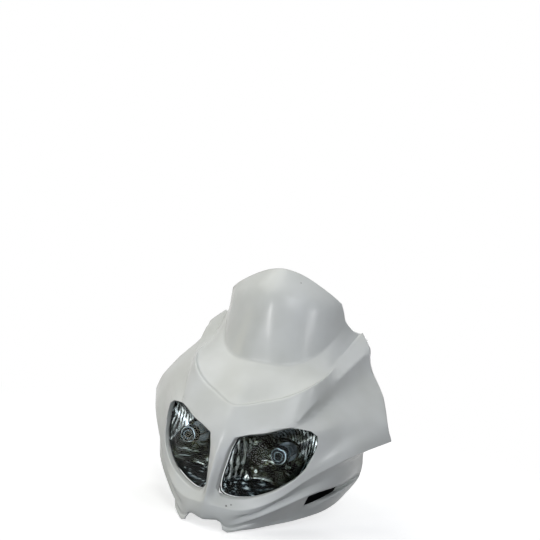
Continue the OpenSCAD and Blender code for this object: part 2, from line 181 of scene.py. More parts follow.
def place_on(tree: bpy.types.NodeTree, scale: tuple[float, float, float] = (1, 1, 1)
             ) -> bpy.types.NodeSocket:
    """Return Object coordinates, stretched by a scale for each axis.

    Args:
        tree: node tree to add to.
        scale: how much each axis is stretched.

    Returns:
        The vector output.
    """
    coords = add_node(tree, "ShaderNodeTexCoord")
    mapping = add_node(tree, "ShaderNodeMapping", {"Scale": scale},
                       {"Vector": coords.outputs["Object"]})
    return mapping.outputs[0]


def noise(tree: bpy.types.NodeTree, size_mm: float, detail: float = 3.0,
          scale: tuple[float, float, float] = (1, 1, 1)) -> bpy.types.NodeSocket:
    """Return the value of a noise whose blotches measure a given size.

    Args:
        tree: node tree to add to.
        size_mm: size of a blotch in millimetres.
        detail: detail of the noise.
        scale: stretch of each axis.

    Returns:
        The noise value, from 0 to 1.
    """
    node = add_node(tree, "ShaderNodeTexNoise",
                    {"Scale": 1 / (size_mm * MM), "Detail": detail},
                    {"Vector": place_on(tree, scale)})
    return node.outputs[0]


def bump(tree: bpy.types.NodeTree, shader: bpy.types.Node, height: bpy.types.NodeSocket,
         depth_mm: float, strength: float = 1.0) -> None:
    """Drive the shader's normal from a height.

    Args:
        tree: node tree to add to.
        shader: shader whose normal is driven.
        height: height value from 0 to 1.
        depth_mm: height of the relief in millimetres.
        strength: strength of the bump.
    """
    node = add_node(tree, "ShaderNodeBump",
                    {"Strength": strength, "Distance": depth_mm * MM}, {"Height": height})
    tree.links.new(node.outputs[0], shader.inputs["Normal"])


def ramp(tree: bpy.types.NodeTree, value: bpy.types.NodeSocket,
         stops: Tones) -> bpy.types.NodeSocket:
    """Turn a value into a colour.

    Args:
        tree: node tree to add to.
        value: the value that is looked up.
        stops: places from 0 to 1 with their hex colours.

    Returns:
        The colour output.
    """
    node = add_node(tree, "ShaderNodeValToRGB", links={"Fac": value})
    points = node.color_ramp.elements
    while len(points) < len(stops):
        points.new(0.5)
    for point, (place, colour) in zip(points, stops):
        point.position = place
        point.color = linear(colour)
    return node.outputs[0]


def distance(tree: bpy.types.NodeTree, centre_mm: tuple[float, float, float]
             ) -> bpy.types.NodeSocket:
    """Return how far a point is from an axis along Y, on either half of the cowl.

    Args:
        tree: node tree to add to.
        centre_mm: size of X and Z of the axis, with Y nought.

    Returns:
        The distance in metres.
    """
    either = add_node(tree, "ShaderNodeVectorMath", {"operation": "ABSOLUTE"},
                      {0: place_on(tree, (1.0, 0.0, 1.0))})
    away = add_node(tree, "ShaderNodeVectorMath",
                    {"operation": "DISTANCE", 1: mm_point(*centre_mm)},
                    {0: either.outputs[0]})
    return away.outputs["Value"]


def outside(tree: bpy.types.NodeTree, centre_mm: tuple[float, float, float],
            radius_mm: float, soft_mm: float) -> bpy.types.NodeSocket:
    """Return 0 within a radius of an axis along Y and 1 beyond it.

    Args:
        tree: node tree to add to.
        centre_mm: size of X and Z of the axis, with Y nought.
        radius_mm: radius of the edge.
        soft_mm: width over which the value changes.

    Returns:
        The value from 0 to 1.
    """
    node = add_node(tree, "ShaderNodeMapRange",
                    {"From Min": radius_mm * MM, "From Max": (radius_mm + soft_mm) * MM},
                    {"Value": distance(tree, centre_mm)})
    return node.outputs[0]


@dataclass(frozen=True)
class MouldedShell(Finish):
    """White ABS moulding: satin, with slight waves from the mould and fine grain.

    Attributes:
        shade: hex colour of the darker areas.
        mark: hex colour of the small marks.
        marks: X, Y, Z and size of each mark in millimetres.
        mark_edge: shares of its size at which a mark starts to fade and ends.
        mark_strength: how much of the colour below a mark it hides.
        ragged: how uneven a mark's edge is.
        ragged_mm: size of that unevenness.
        mottle_mm: size of the darker and paler areas.
        wave_mm: length of the waves that the mould leaves.
        grain_mm: size of the grain, drawn coarser than the real one so that it shows.
        grain_share: height of the grain as a share of the waves'.
        relief_mm: height of the waves.
    """

    shade: str = "#cfd1cc"
    mark: str = "#55534c"
    marks: tuple[tuple[float, float, float, float], ...] = ()
    mark_edge: tuple[float, float] = (1.5, 2.0)
    mark_strength: float = 0.75
    ragged: float = 1.6
    ragged_mm: float = 1.2
    mottle_mm: float = 95.0
    wave_mm: float = 34.0
    grain_mm: float = 1.6
    grain_share: float = 0.05
    relief_mm: float = 0.35

    def build(self) -> bpy.types.Material:
        """Build the material with mottling, small marks and relief.

        Returns:
            The material.
        """
        material, tree, shader = self.begin()
        colour = ramp(tree, noise(tree, self.mottle_mm),
                      ((0.3, self.shade), (0.7, self.colour)))
        for x, y, z, radius in self.marks:
            colour = self.marked(tree, colour, (x, y, z), radius)
        tree.links.new(colour, shader.inputs["Base Color"])
        relief = add_node(tree, "ShaderNodeMath",
                          {"operation": "MULTIPLY_ADD", 1: self.grain_share},
                          {0: noise(tree, self.grain_mm), 2: noise(tree, self.wave_mm, 1.0)})
        bump(tree, shader, relief.outputs[0], self.relief_mm, strength=0.5)
        return material

    def marked(self, tree: bpy.types.NodeTree, colour: bpy.types.NodeSocket,
               centre_mm: tuple[float, float, float], radius_mm: float
               ) -> bpy.types.NodeSocket:
        """Lay one small dark mark over a colour.

        Args:
            tree: node tree to add to.
            colour: colour that lies below.
            centre_mm: centre of the mark.
            radius_mm: size of the mark.

        Returns:
            The colour with the mark.
        """
        away = add_node(tree, "ShaderNodeVectorMath",
                        {"operation": "DISTANCE", 1: mm_point(*centre_mm)},
                        {0: place_on(tree)})
        ragged = add_node(tree, "ShaderNodeMath",
                          {"operation": "MULTIPLY_ADD", 1: radius_mm * MM * self.ragged},
                          {0: noise(tree, self.ragged_mm), 2: away.outputs["Value"]})
        inside = add_node(tree, "ShaderNodeMapRange",
                          {"From Min": radius_mm * MM * self.mark_edge[0],
                           "From Max": radius_mm * MM * self.mark_edge[1],
                           "To Min": self.mark_strength, "To Max": 0.0},
                          {"Value": ragged.outputs[0]})
        mix = add_node(tree, "ShaderNodeMix", {"data_type": "RGBA", 7: linear(self.mark)},
                       {0: inside.outputs[0], 6: colour})
        return mix.outputs[2]


@dataclass(frozen=True)
class SilveredPlastic(Finish):
    """Vacuum metallised plastic, with painted reflections: a dark bowl, painted glints and
    flutes.

    Attributes:
        centre_mm: size of X and Z of the middle of the bowl's tones, with Y nought.
        bowl_mm: radius of the bowl's tones.
        bowl_reflection_mm: size of the blurred shapes of the painted reflection in the bowl.
        bowl_reflection_stretch: how much they are stretched along each axis.
        bowl_reflection_tones: tones of that painted reflection, dark and bright.
        soft_mm: width over which the bowl's edge changes.
        rim: hex colour of the painted shade along the bowl's rim.
        painted_rim_shade_mm: how far that painted shade reaches in and out from the bowl's
            edge.
        flute_mm: width of a flute's painted tones.
        flute_share: how strongly the flutes show against the painted flashes.
        flute_waver: how much the flutes stray from a straight line.
        flute_reflection_tones: painted reflection tones of the flutes, dark to bright.
        painted_flash_mm: length of the painted flashes of highlight that break the flutes.
        painted_flash_stretch: how much they are stretched along each axis.
        swell_mm: length of the waves in the surface.
        swell_depth_mm: height of those waves.
        painted_glint: hex colour of a painted glint.
        painted_glints: painted glints as size of X, size of Z, half width and half height.
        painted_glint_edge: shares of its size at which a painted glint starts to fade and ends.
        ragged: how uneven a painted glint's edge is.
        ragged_mm: size of that unevenness.
    """

    centre_mm: tuple[float, float, float] = (67.0, 0.0, 153.0)
    bowl_mm: float = 38.0
    bowl_reflection_mm: float = 10.0
    bowl_reflection_stretch: tuple[float, float, float] = (0.6, 1.0, 1.5)
    bowl_reflection_tones: Tones = (
        (0.34, "#08090a"), (0.43, "#1d1f18"), (0.49, "#3c3e2d"), (0.54, "#76785f"),
        (0.575, "#2b2d22"), (0.6, "#d4dadb"), (0.625, "#555847"), (0.68, "#f0f5f5"))
    soft_mm: float = 2.0
    rim: str = "#060707"
    painted_rim_shade_mm: tuple[float, float] = (3.0, 1.0)
    flute_mm: float = 4.6
    flute_share: float = 0.22
    flute_waver: float = 1.2
    flute_reflection_tones: Tones = (
        (0.42, "#0b0d0d"), (0.53, "#343835"), (0.59, "#90958f"), (0.64, "#c4ccd0"),
        (0.69, "#fbfdfd"))
    painted_flash_mm: float = 5.5
    painted_flash_stretch: tuple[float, float, float] = (1.3, 0.5, 0.6)
    swell_mm: float = 5.0
    swell_depth_mm: float = 0.4
    painted_glint: str = "#f2f8fb"
    painted_glints: tuple[tuple[float, float, float, float], ...] = ()
    painted_glint_edge: tuple[float, float] = (1.3, 1.8)
    ragged: float = 1.6
    ragged_mm: float = 4.0

    def build(self) -> bpy.types.Material:
        """Build the material with its painted reflections: bowl, flutes, rim shade and glints.

        Returns:
            The material.
        """
        material, tree, shader = self.begin()
        # The bowl's colour is a painted reflection of blurred dark and bright shapes.
        bowl = ramp(tree, noise(tree, self.bowl_reflection_mm, 3.0, self.bowl_reflection_stretch), self.bowl_reflection_tones)
        mix = add_node(tree, "ShaderNodeMix", {"data_type": "RGBA"},
                       {0: outside(tree, self.centre_mm, self.bowl_mm, self.soft_mm),
                        6: bowl, 7: self.flutes(tree)})
        # A painted shade runs along the bowl's rim.
        inner = outside(tree, self.centre_mm, self.bowl_mm - self.painted_rim_shade_mm[0], self.soft_mm)
        outer = outside(tree, self.centre_mm, self.bowl_mm + self.painted_rim_shade_mm[1], self.soft_mm)
        rim = add_node(tree, "ShaderNodeMath", {"operation": "SUBTRACT"},
                       {0: inner, 1: outer})
        edge = add_node(tree, "ShaderNodeMix", {"data_type": "RGBA", 7: linear(self.rim)},
                        {0: rim.outputs[0], 6: mix.outputs[2]})
        colour = edge.outputs[2]
        # Painted glints are laid over the colour.
        for x, z, wide, high in self.painted_glints:
            colour = self.paint_glint(tree, colour, (x, z), (wide, high))
        tree.links.new(colour, shader.inputs["Base Color"])
        bump(tree, shader, noise(tree, self.swell_mm, 1.0), self.swell_depth_mm,
             strength=0.4)
        return material

    def flutes(self, tree: bpy.types.NodeTree) -> bpy.types.NodeSocket:
        """Paint the flutes' reflections: upright dark and bright stripes, broken into painted
        flashes.

        Args:
            tree: node tree to add to.

        Returns:
            The painted reflection colour of the flutes.
        """
        stripes = add_node(tree, "ShaderNodeTexWave",
                           {"wave_type": "BANDS", "bands_direction": "X",
                            "wave_profile": "SIN",
                            "Scale": WAVE_LENGTH / (self.flute_mm * MM),
                            "Distortion": self.flute_waver, "Detail": 2.0},
                           {"Vector": place_on(tree, (1.0, 0.0, 0.3))})
        broken = add_node(tree, "ShaderNodeMath",
                          {"operation": "MULTIPLY_ADD", 1: self.flute_share},
                          {0: stripes.outputs["Fac"],
                           2: noise(tree, self.painted_flash_mm, 3.0, self.painted_flash_stretch)})
        return ramp(tree, broken.outputs[0], self.flute_reflection_tones)

    def paint_glint(self, tree: bpy.types.NodeTree, colour: bpy.types.NodeSocket,
                 spot_mm: tuple[float, float], half_mm: tuple[float, float]
                 ) -> bpy.types.NodeSocket:
        """Lay one painted glint over a colour, on either lamp.

        Args:
            tree: node tree to add to.
            colour: colour that lies below.
            spot_mm: size of X and Z of the glint's middle.
            half_mm: half of its width and height.

        Returns:
            The colour with the painted glint.
        """
        stretch = (1 / (half_mm[0] * MM), 0.0, 1 / (half_mm[1] * MM))
        either = add_node(tree, "ShaderNodeVectorMath", {"operation": "ABSOLUTE"},
                          {0: place_on(tree, stretch)})
        middle = (spot_mm[0] / half_mm[0], 0.0, spot_mm[1] / half_mm[1])
        away = add_node(tree, "ShaderNodeVectorMath", {"operation": "DISTANCE", 1: middle},
                        {0: either.outputs[0]})
        ragged = add_node(tree, "ShaderNodeMath",
                          {"operation": "MULTIPLY_ADD", 1: self.ragged},
                          {0: noise(tree, self.ragged_mm), 2: away.outputs["Value"]})
        inside = add_node(tree, "ShaderNodeMapRange",
                          {"From Min": self.painted_glint_edge[0], "From Max": self.painted_glint_edge[1],
                           "To Min": 1.0, "To Max": 0.0}, {"Value": ragged.outputs[0]})
        mix = add_node(tree, "ShaderNodeMix", {"data_type": "RGBA", 7: linear(self.painted_glint)},
                       {0: inside.outputs[0], 6: colour})
        return mix.outputs[2]


@dataclass(frozen=True)
class RingedCapWithPaintedHighlights(Finish):
    """Plated cap with pressed rings, painted with thin bright circles as highlights round a
    dark middle.

    Attributes:
        centre_mm: size of X and Z of the lamp's axis, with Y nought.
        width_mm: radius at which the tones of the rings end.
        tones: painted tones from the axis out to that radius, whose bright circles are painted
            highlights.
        uneven: how much the rings stray from a circle, as a share of that radius.
        uneven_mm: size of that unevenness.
        swell_mm: length of the waves in the surface.
        swell_depth_mm: height of those waves.
    """

    centre_mm: tuple[float, float, float] = (74.0, 0.0, 135.0)
    width_mm: float = 14.5
    tones: Tones = (
        (0.0, "#20262b"), (0.22, "#10130f"), (0.36, "#0c0e0f"), (0.43, "#9aa6ad"),
        (0.5, "#191d20"), (0.7, "#2c3339"), (0.79, "#b4c0c8"), (0.86, "#2b3338"),
        (1.0, "#6f808c"))
    uneven: float = 0.34
    uneven_mm: float = 8.0
    swell_mm: float = 3.0
    swell_depth_mm: float = 0.1

    def build(self) -> bpy.types.Material:
        """Build the material with its rings painted as bright highlights.

        Returns:
            The material.
        """
        material, tree, shader = self.begin()
        away = add_node(tree, "ShaderNodeMath",
                        {"operation": "DIVIDE", 1: self.width_mm * MM},
                        {0: distance(tree, self.centre_mm)})
        uneven = add_node(tree, "ShaderNodeMath",
                          {"operation": "MULTIPLY_ADD", 1: self.uneven, 2: -self.uneven / 2},
                          {0: noise(tree, self.uneven_mm, 1.0)})
        place = add_node(tree, "ShaderNodeMath", {"operation": "ADD"},
                         {0: away.outputs[0], 1: uneven.outputs[0]})
        tree.links.new(ramp(tree, place.outputs[0], self.tones), shader.inputs["Base Color"])
        bump(tree, shader, noise(tree, self.swell_mm, 1.0), self.swell_depth_mm)
        return material


@dataclass(frozen=True)
class ClearPlastic(Finish):
    """Clear polycarbonate or quartz glass: light passes and edges gather a little shade.

    Attributes:
        ripple_mm: length of the faint waves in the surface.
        ripple_depth_mm: height of those waves.
    """

    ripple_mm: float = 18.0
    ripple_depth_mm: float = 0.12

    def build(self) -> bpy.types.Material:
        """Build the material with its transmission.

        Returns:
            The material.
        """
        material, tree, shader = self.begin()
        shader.inputs["Transmission Weight"].default_value = 1.0
        bump(tree, shader, noise(tree, self.ripple_mm, 1.0), self.ripple_depth_mm,
             strength=0.3)
        return material


@dataclass(frozen=True)
class GrainedFinish(Finish):
    """A plain finish with fine grain and a second tone, as on moulded or plated parts.

    Attributes:
        second: hex colour of the second tone.
        blotch_mm: size of the areas of each tone.
        grain_mm: size of the grain.
        grain_depth_mm: height of the grain.
    """

    second: str = "#000000"
    blotch_mm: float = 12.0
    grain_mm: float = 0.8
    grain_depth_mm: float = 0.05

    def build(self) -> bpy.types.Material:
        """Build the material with its tones and grain.

        Returns:
            The material.
        """
        material, tree, shader = self.begin()
        tone = ramp(tree, noise(tree, self.blotch_mm), ((0.3, self.second), (0.7, self.colour)))
        tree.links.new(tone, shader.inputs["Base Color"])
        bump(tree, shader, noise(tree, self.grain_mm, 2.0), self.grain_depth_mm)
        return material


@dataclass(frozen=True)
class GlossBlack(Finish):
    """Polished black plastic inside the lamp: dark, with a few painted streaks of reflected
    light.

    Attributes:
        streak_mm: size of the painted reflected shapes.
        stretch: how much they are stretched along each axis.
        plain: share of the noise up to which the plastic keeps its own colour.
        painted_streaks: tones of the painted reflections.
        relief_mm: height of the waves in the surface.
    """

    streak_mm: float = 7.0
    stretch: tuple[float, float, float] = (0.35, 1.0, 2.2)
    plain: float = 0.5
    painted_streaks: Tones = ((0.58, "#1d2426"), (0.63, "#6f7d83"), (0.7, "#d5dfe2"))
    relief_mm: float = 0.1

    def build(self) -> bpy.types.Material:
        """Build the material with its painted streaks of reflection.

        Returns:
            The material.
        """
        material, tree, shader = self.begin()
        tone = ramp(tree, noise(tree, self.streak_mm, 2.0, self.stretch),
                    ((self.plain, self.colour), *self.painted_streaks))
        tree.links.new(tone, shader.inputs["Base Color"])
        bump(tree, shader, noise(tree, self.streak_mm, 1.0), self.relief_mm)
        return material


class Finishes:
    """All the materials of the cowl, each built once."""

    def __init__(self) -> None:
        """Build the materials."""
        # Injection moulded ABS, left satin. It gives soft, broad highlights. Its index is
        # set a little below the plastic's 1.54, to match how weak they are.
        self.shell = MouldedShell("white_abs_moulding", "#dfe1df", 0.24, ior=1.42, marks=(
            (27.8, -264.6, -206.8, 1.5), (33.0, -259.4, -205.2, 1.3),
            (34.6, -108.0, 125.3, 1.0))).build()
        # Polyurethane sealant, skinned over. It gives a dull black line round each lens.
        self.bead = GrainedFinish("black_sealant", "#0b0b0c", 0.55, second="#151516").build()
        # Moulded polycarbonate, polished. The lamp shows through it almost unveiled, so its
        # index is set well below the plastic's 1.58.
        self.lens = ClearPlastic("clear_polycarbonate", "#f2f6f6", 0.0, ior=1.14).build()
        # Vacuum metallised plastic. Its colour is painted reflection: dark and bright shapes
        # side by side, a painted shade at the bowl's rim and painted glints.
        self.reflector = SilveredPlastic(
            "metallised_reflector", "#9a9e9e", 0.22, 1.0, painted_glints=(
                (46.0, 152.0, 6.0, 1.1), (40.0, 168.5, 2.8, 2.4), (16.5, 137.0, 2.2, 4.0),
                (22.0, 174.0, 6.0, 2.6), (54.0, 119.0, 1.2, 4.5), (59.5, 120.0, 1.2, 4.0),
                (98.5, 129.0, 3.2, 5.0), (107.0, 134.0, 2.4, 6.0), (12.5, 163.0, 1.6, 6.0),
                (92.0, 112.0, 7.0, 1.4), (86.0, 163.0, 5.0, 1.0),
                (50.0, 176.0, 15.0, 0.9), (80.0, 171.0, 9.0, 0.8))).build()
        # Polypropylene from a spark eroded mould. It stays black, so its index is set low.
        self.housing = GrainedFinish("black_polypropylene", "#08090a", 0.3, ior=1.28,
                                     second="#0f1112").build()
        # The same plastic from a polished part of the mould, below the reflector. It is
        # nearly black, with painted streaks that stand for the lamp's bright parts mirrored in
        # it.
        self.well = GlossBlack("polished_black_plastic", "#040505", 0.35, ior=1.2).build()
        # Nickel plated steel of the bulb's collar. It shows as a grey crescent in the bowl.
        self.collar = GrainedFinish("nickel_plated_steel", "#88949b", 0.3, 1.0,
                                    second="#22272a", blotch_mm=16.0,
                                    grain_depth_mm=0.01).build()
        # Drawn quartz glass of the bulb. It shows by its outline and a few reflections.
        self.quartz = ClearPlastic("quartz_glass", "#eef2f2", 0.0, ior=1.46).build()
        # Deep drawn, plated steel of the cap, with pressed rings in its end. Its colour paints
        # them as thin bright highlights.
        self.bright = RingedCapWithPaintedHighlights("plated_steel", "#b9bcbc", 0.22, 1.0).build()
        # Moulded EPDM rubber. A dusty bloom leaves it dull and slightly uneven.
        self.rubber = GrainedFinish("epdm_rubber", "#161616", 0.7, second="#232322",
                                    grain_mm=1.5).build()
        # Zinc plated steel of the sleeves. It gives a pale, slightly dull grey.
        self.zinc = GrainedFinish("zinc_plated_steel", "#8d9196", 0.34, 1.0,
                                  second="#75787c").build()


def finish_object(mesh_source: bmesh.types.BMesh, name: str, material: bpy.types.Material,
                  nodes: tuple[str, ...],
                  sharp_degrees: float = 60.0) -> bpy.types.Object:
    """Turn a bmesh into a piece of the part.

    Args:
        mesh_source: the bmesh, which is freed.
        name: name of the piece.
        material: its material.
        nodes: nodes that the piece stands for.
        sharp_degrees: angle from which an edge is shaded sharp.

    Returns:
        The new object.
    """
    mesh = bpy.data.meshes.new(name)
    mesh_source.to_mesh(mesh)
    mesh_source.free()
    for face in mesh.polygons:
        face.use_smooth = True
    mesh.set_sharp_from_angle(angle=math.radians(sharp_degrees))
    mesh.materials.append(material)
    piece = bpy.data.objects.new(name, mesh)
    bpy.context.scene.collection.objects.link(piece)
    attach(piece, "root")
    if nodes:
        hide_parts(*nodes)
    log.info("%s: %d faces", name, len(mesh.polygons))
    return piece


def merged_copy(node: str) -> bmesh.types.BMesh:
    """Return a copy of a node's mesh with its doubles merged and its triangles paired.

    Args:
        node: name of the node.

    Returns:
        The copy.
    """
    bm = bmesh.new()
    bm.from_mesh(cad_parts[node].data)
    bmesh.ops.remove_doubles(bm, verts=bm.verts, dist=SAME_POINT)
    bmesh.ops.join_triangles(bm, faces=bm.faces,
                             angle_face_threshold=math.radians(PAIR_FACES),
                             angle_shape_threshold=math.radians(PAIR_CORNERS))
    return bm


def crease_by_angle(bm: bmesh.types.BMesh, start: float, full: float, most: float) -> None:
    """Crease edges by the angle between their faces, so that character lines stay crisp.

    Args:
        bm: bmesh to crease.
        start: angle in degrees from which an edge creases.
        full: angle in degrees from which it creases most.
        most: largest crease.
    """
    layer = bm.edges.layers.float.new("crease_edge")
    for edge in bm.edges:
        if edge.is_manifold:
            angle = math.degrees(edge.calc_face_angle())
            edge[layer] = most * min(max((angle - start) / (full - start), 0.0), 1.0)


def subdivided(bm: bmesh.types.BMesh, levels: int) -> bmesh.types.BMesh:
    """Return a bmesh smoothed by a subdivision surface, which is applied.

    Args:
        bm: the bmesh to smooth, which is freed.
        levels: levels of the subdivision.

    Returns:
        The smoothed bmesh.
    """
    mesh = bpy.data.meshes.new("work")
    bm.to_mesh(mesh)
    bm.free()
    work = bpy.data.objects.new("work", mesh)
    bpy.context.scene.collection.objects.link(work)
    modifier = work.modifiers.new("smooth", "SUBSURF")
    modifier.levels = modifier.render_levels = levels
    seen = work.evaluated_get(bpy.context.evaluated_depsgraph_get())
    smooth = bmesh.new()
    smooth.from_mesh(seen.to_mesh())
    seen.to_mesh_clear()
    bpy.data.objects.remove(work)
    bpy.data.meshes.remove(mesh)
    return smooth


def add_revolved(bm: bmesh.types.BMesh, profile: Outline, centre: Vector,
                 steps: int = 64) -> None:
    """Spin a closed outline round an axis that points to the front.

    Args:
        bm: bmesh that the solid is added to.
        profile: the outline, whose last point is joined to its first.
        centre: point of the axis where the height is nought.
        steps: number of steps round.
    """
    verts = [bm.verts.new(centre + Vector((r, -h, 0)) * MM) for r, h in profile]
    edges = [bm.edges.new(pair) for pair in zip(verts, verts[1:] + verts[:1])]
    bmesh.ops.spin(bm, geom=verts + edges, cent=centre, axis=(0, -1, 0), dvec=(0, 0, 0),
                   angle=math.tau, steps=steps, use_merge=True, use_normal_flip=False,
                   use_duplicate=False)
    bmesh.ops.remove_doubles(bm, verts=bm.verts, dist=SAME_POINT)
    bmesh.ops.dissolve_degenerate(bm, edges=bm.edges, dist=SAME_POINT)
    bmesh.ops.recalc_face_normals(bm, faces=bm.faces)


def add_blade(bm: bmesh.types.BMesh, centre: Vector, size_mm: tuple[float, float, float],
              turn: float, edge_mm: float = 0.2) -> None:
    """Add a flat terminal blade, turned about the axis that points to the front.

    Args:
        bm: bmesh that the blade is added to.
        centre: middle of the blade.
        size_mm: size along X, Y and Z before it is turned.
        turn: angle in radians.
        edge_mm: width of the bevel along its edges.
    """
    matrix = (Matrix.Translation(centre) @ Matrix.Rotation(turn, 4, "Y")
              @ Matrix.Diagonal((*(s * MM for s in size_mm), 1.0)))
    made = bmesh.ops.create_cube(bm, size=1.0, matrix=matrix)
    edges = {edge for vert in made["verts"] for edge in vert.link_edges}
    bmesh.ops.bevel(bm, geom=list(edges), offset=edge_mm * MM, affect="EDGES",
                    segments=1, profile=0.5, material=-1)


def rounded_copy(node: str, offset_mm: float) -> bmesh.types.BMesh:
    """Return a merged copy of a node with its sharp edges rounded.

    Args:
        node: name of the node.
        offset_mm: width of the rounding.

    Returns:
        The copy.
    """
    bm = merged_copy(node)
    sharp = [edge for edge in bm.edges
             if edge.is_manifold and edge.calc_face_angle() > math.radians(HARD_EDGE)]
    bmesh.ops.bevel(bm, geom=sharp, offset=offset_mm * MM, affect="EDGES", segments=2,
                    profile=0.5, material=-1, clamp_overlap=True)
    bmesh.ops.remove_doubles(bm, verts=bm.verts, dist=SAME_POINT)
    return bm


@dataclass
class CowlShell:
    """The white moulding: screen, hood, ridge band, side panels, vents and ears.

    Attributes:
        finishes: the materials.
        levels: levels of the subdivision.
        crease_start: angle in degrees from which an edge creases.
        crease_full: angle in degrees from which it creases most.
        crease_most: largest crease.
    """

    finishes: Finishes
    levels: int = 2
    crease_start: float = 11.0
    crease_full: float = 38.0
    crease_most: float = 0.8

    def build(self) -> None:
        """Smooth the shell's solid, with its creases kept, and dress it."""
        bm = merged_copy("cowl")
        crease_by_angle(bm, self.crease_start, self.crease_full, self.crease_most)
        finish_object(subdivided(bm, self.levels), "cowl_shell", self.finishes.shell,
                      ("cowl",))


@dataclass
class VentDuct:
    """Black sheet as painted shade behind one side vent, shaped as a duct, seated on the shell
    and open to the rear.

    Attributes:
        finishes: the materials.
        side: the half of the cowl.
        depth_mm: how far the duct stands in from the shell.
        sheet_mm: thickness of its sheet.
        upper_mm: points along its upper edge, from the front to the rear.
        lower_mm: points along its lower edge.
        inwards: direction from the shell into the cowl.
        reach_mm: how far inside the shell the search for its inner skin starts.
        rise: share of the length over which the duct reaches its depth.
        steps: number of steps along the vent.
        rings: number of steps from its upper to its lower edge.
    """

    finishes: Finishes
    side: Side
    depth_mm: float = 20.0
    sheet_mm: float = 1.2
    upper_mm: tuple[tuple[float, float, float], ...] = (
        (108, -188, -184), (130, -145, -177), (149, -110, -172), (154, -100, -171))
    lower_mm: tuple[tuple[float, float, float], ...] = (
        (98, -178, -219), (121, -138, -207), (142, -106, -194), (147, -97, -190))
    inwards: tuple[float, float, float] = (-0.87, 0.46, 0.0)
    reach_mm: float = 7.0
    rise: float = 0.35
    steps: int = 20
    rings: int = 12

    def row(self, points: tuple[tuple[float, float, float], ...], along: float) -> Vector:
        """Find a point of an edge, at a share of its length.

        Args:
            points: points along the edge in millimetres.
            along: place from 0 at the front to 1 at the rear.

        Returns:
            The point in millimetres, on the right half.
        """
        spot = along * (len(points) - 1)
        k = min(int(spot), len(points) - 2)
        return Vector(points[k]).lerp(Vector(points[k + 1]), spot - k)

    def point(self, along: float, down: float, skin: BVHTree) -> Vector:
        """Find a point of the duct.

        Args:
            along: place along the vent, from 0 at its front end to 1.
            down: place from 0 at its upper edge to 1 at its lower edge.
            skin: the shell's surface, which carries the duct's edges.

        Returns:
            The point in metres.
        """
        rows = []
        for points in (self.upper_mm, self.lower_mm):
            edge = self.row(points, along) + Vector(self.inwards) * self.reach_mm
            edge.x *= self.side.value
            rows.append(skin.find_nearest(edge * MM)[0])
        front = math.sin(math.pi / 2 * min(along / self.rise, 1.0))
        across = math.sin(math.pi * down) ** 0.5
        inwards = Vector(self.inwards)
        inwards.x *= self.side.value
        return rows[0].lerp(rows[1], down) + inwards * self.depth_mm * MM * front * across

    def build(self) -> None:
        """Bend a grid into the duct and give it its thickness."""
        shell = bmesh.new()
        shell.from_mesh(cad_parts["cowl"].data)
        skin = BVHTree.FromBMesh(shell)
        shell.free()
        bm = bmesh.new()
        bmesh.ops.create_grid(bm, x_segments=self.steps, y_segments=self.rings,
                              size=1.0)
        for vert in bm.verts:
            vert.co = self.point((vert.co.x + 1) / 2, (1 - vert.co.y) / 2, skin)
        bmesh.ops.recalc_face_normals(bm, faces=bm.faces)
        bmesh.ops.solidify(bm, geom=bm.faces[:], thickness=self.sheet_mm * MM)
        bmesh.ops.recalc_face_normals(bm, faces=bm.faces)
        # The black sheet is painted shade: it stands for the dark seen through the vent.
        finish_object(bm, f"vent_duct_{self.side.word}", self.finishes.housing, ())


